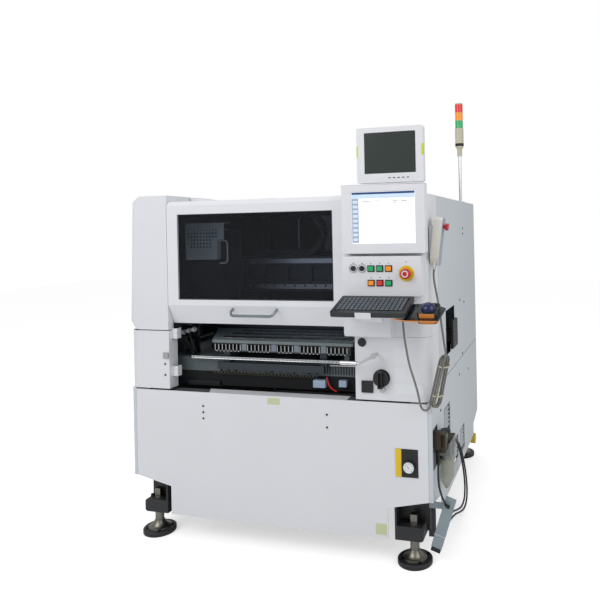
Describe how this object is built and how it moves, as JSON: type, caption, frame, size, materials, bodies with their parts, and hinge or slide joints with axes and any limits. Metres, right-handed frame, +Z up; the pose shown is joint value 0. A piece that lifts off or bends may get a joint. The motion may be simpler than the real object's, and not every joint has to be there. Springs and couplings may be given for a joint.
{
  "type": "surface-mount placement machine",
  "caption": "Floor-standing electronics placement machine: levelled cabinet, tinted hinged cover over a moving gantry and head, feeder bank, operator panel, screens and signal tower.",
  "frame": {"origin": "middle of the machine's floor rectangle, on the floor that the foot pads stand on", "axes": "+Z up, +Y from the operator's side to the rear, +X to the operator's right"},
  "size_m": [1.434, 1.479, 1.985],
  "materials": {
    "cover_beige": "satin powder coat",
    "side_grey": "satin powder coat",
    "cover_white": "satin powder coat",
    "frame_grey": "satin paint",
    "bracket_black": "matt black paint",
    "foot_steel": "dark turned steel",
    "bed_grey": "grey machine enamel",
    "guide_steel": "ground steel",
    "rail_aluminium": "anodised",
    "plate_green": "hard anodised, matt",
    "window_tint": "clear tinted sheet",
    "screen_glass": "anti-glare glass",
    "chain_black": "moulded nylon",
    "head_grey": "machined",
    "guard_white": "satin powder coat",
    "spindle_steel": "polished",
    "handle_chrome": "polished",
    "black_plastic": "fine grain",
    "key_plastic": "fine grain",
    "panel_white": "satin powder coat",
    "green_cap": "translucent",
    "amber_cap": "translucent",
    "red_cap": "translucent",
    "stop_red": "moulded",
    "lens": "clear coloured",
    "tower_beige": "moulded",
    "lcd_beige": "fine grain",
    "ball_blue": "polished",
    "air_steel": "die cast",
    "bowl_clear": "clear polycarbonate",
    "box_grey": "fine grain",
    "plug_yellow": "moulded",
    "pendant_grey": "fine grain",
    "cable_grey": "matt PVC",
    "cable_black": "matt PVC"
  },
  "bodies": {
    "machine": {"base_frame": "frame_grey", "foot_brackets": "bracket_black", "levelling_feet": "foot_steel", "front_panel": "cover_beige", "side_panel_left": "side_grey", "side_panel_right": "side_grey", "rear_cover": "side_grey", "top_cover": "cover_beige", "upper_side_left": "side_grey", "upper_side_right": "side_grey", "left_column": "cover_beige", "left_box": "cover_beige", "right_column": "cover_beige", "right_box": "cover_beige", "machine_bed": "bed_grey", "y_guides": "guide_steel", "conveyor_rail_front": "rail_aluminium", "feeder_plate": "plate_green", "feeder_comb": "rail_aluminium", "monitor_housing": "cover_beige", "main_screen": "screen_glass", "operation_panel": "panel_white", "panel_fittings": "black_plastic", "tray_arm": "cover_beige", "keyboard": "key_plastic", "mouse_tray": "black_plastic", "pendant": "pendant_grey", "pendant_holder": "cover_beige", "tower_pole": "tower_beige", "tower_lenses": "lens", "air_unit": "air_steel", "air_bowls": "bowl_clear", "cable_box": "box_grey", "rear_plug": "plug_yellow", "pendant_cable": "cable_grey", "cable_hank": "cable_grey", "side_cables": "cable_black"},
    "safety_cover": {"safety_cover": "cover_white", "cover_window": "window_tint", "cover_handle": "handle_chrome"},
    "gantry": {"gantry_beam": "head_grey", "energy_chain": "chain_black"},
    "head": {"placement_head": "head_grey", "head_guard": "guard_white"},
    "spindle_set": {"spindles": "spindle_steel"},
    "rear_rail": {"conveyor_rail_rear": "rail_aluminium"},
    "bank_lever": {"bank_lever": "handle_chrome"},
    "stop_button": {"stop_button": "stop_red"},
    "main_switch": {"main_switch": "black_plastic"},
    "lamp_switch": {"lamp_switch": "black_plastic"},
    "lcd_monitor": {"lcd_monitor": "lcd_beige"},
    "trackball": {"trackball": "ball_blue"},
    "pendant_stop": {"pendant_stop": "stop_red"},
    "regulator_knob": {"regulator_knob": "black_plastic"},
    "button_1": {"button_1": "green_cap"},
    "button_2": {"button_2": "green_cap"},
    "button_3": {"button_3": "amber_cap"},
    "button_4": {"button_4": "amber_cap"},
    "button_5": {"button_5": "red_cap"},
    "button_6": {"button_6": "green_cap"}
  },
  "joints": [
    {"name": "cover_hinge", "type": "hinge", "parent": "machine", "child": "safety_cover", "pos_m": [-0.104, -0.43309, 1.442], "axis": [-1, 0, 0], "range_deg": [0, 75]},
    {"name": "gantry_slide", "type": "slide", "parent": "machine", "child": "gantry", "axis": [0, 1, 0], "range_m": [-0.22, 0.4]},
    {"name": "head_slide", "type": "slide", "parent": "gantry", "child": "head", "axis": [1, 0, 0], "range_m": [0, 0.9]},
    {"name": "spindle_lift", "type": "slide", "parent": "head", "child": "spindle_set", "axis": [0, 0, 1], "range_m": [-0.022, 0]},
    {"name": "rail_width", "type": "slide", "parent": "machine", "child": "rear_rail", "axis": [0, 1, 0], "range_m": [-0.13, 0]},
    {"name": "lever_turn", "type": "hinge", "parent": "machine", "child": "bank_lever", "pos_m": [0.422, -0.53909, 0.821], "axis": [0, -1, 0], "range_deg": [0, 60]},
    {"name": "stop_press", "type": "slide", "parent": "machine", "child": "stop_button", "axis": [0, 1, 0], "range_m": [0, 0.005], "stiffness_N_per_m": 1200, "springref_m": -0.001},
    {"name": "main_switch_turn", "type": "hinge", "parent": "machine", "child": "main_switch", "pos_m": [0.44, -0.53909, 0.728], "axis": [0, 1, 0], "range_deg": [0, 90]},
    {"name": "lamp_switch_turn", "type": "hinge", "parent": "machine", "child": "lamp_switch", "pos_m": [0.385, -0.53909, 1.158], "axis": [0, 1, 0], "range_deg": [-45, 45]},
    {"name": "lcd_tilt", "type": "hinge", "parent": "machine", "child": "lcd_monitor", "pos_m": [0.495, -0.49309, 1.592], "axis": [1, 0, 0], "range_deg": [-12, 4]},
    {"name": "trackball_roll", "type": "hinge", "parent": "machine", "child": "trackball", "pos_m": [0.662, -0.67941, 1.01492], "axis": [1, 0, 0], "continuous": true},
    {"name": "pendant_stop_press", "type": "slide", "parent": "machine", "child": "pendant_stop", "axis": [-0.9925, 0, 0.1219], "range_m": [0, 0.005], "stiffness_N_per_m": 900, "springref_m": -0.001},
    {"name": "regulator_turn", "type": "hinge", "parent": "machine", "child": "regulator_knob", "pos_m": [0.661, -0.39909, 0.48], "axis": [0, 0, 1], "range_deg": [-150, 150]},
    {"name": "button_1_press", "type": "slide", "parent": "machine", "child": "button_1", "axis": [0, 1, 0], "range_m": [0, 0.004], "stiffness_N_per_m": 500, "springref_m": -0.001},
    {"name": "button_2_press", "type": "slide", "parent": "machine", "child": "button_2", "axis": [0, 1, 0], "range_m": [0, 0.004], "stiffness_N_per_m": 500, "springref_m": -0.001},
    {"name": "button_3_press", "type": "slide", "parent": "machine", "child": "button_3", "axis": [0, 1, 0], "range_m": [0, 0.004], "stiffness_N_per_m": 500, "springref_m": -0.001},
    {"name": "button_4_press", "type": "slide", "parent": "machine", "child": "button_4", "axis": [0, 1, 0], "range_m": [0, 0.004], "stiffness_N_per_m": 500, "springref_m": -0.001},
    {"name": "button_5_press", "type": "slide", "parent": "machine", "child": "button_5", "axis": [0, 1, 0], "range_m": [0, 0.004], "stiffness_N_per_m": 500, "springref_m": -0.001},
    {"name": "button_6_press", "type": "slide", "parent": "machine", "child": "button_6", "axis": [0, 1, 0], "range_m": [0, 0.004], "stiffness_N_per_m": 500, "springref_m": -0.001}
  ]
}
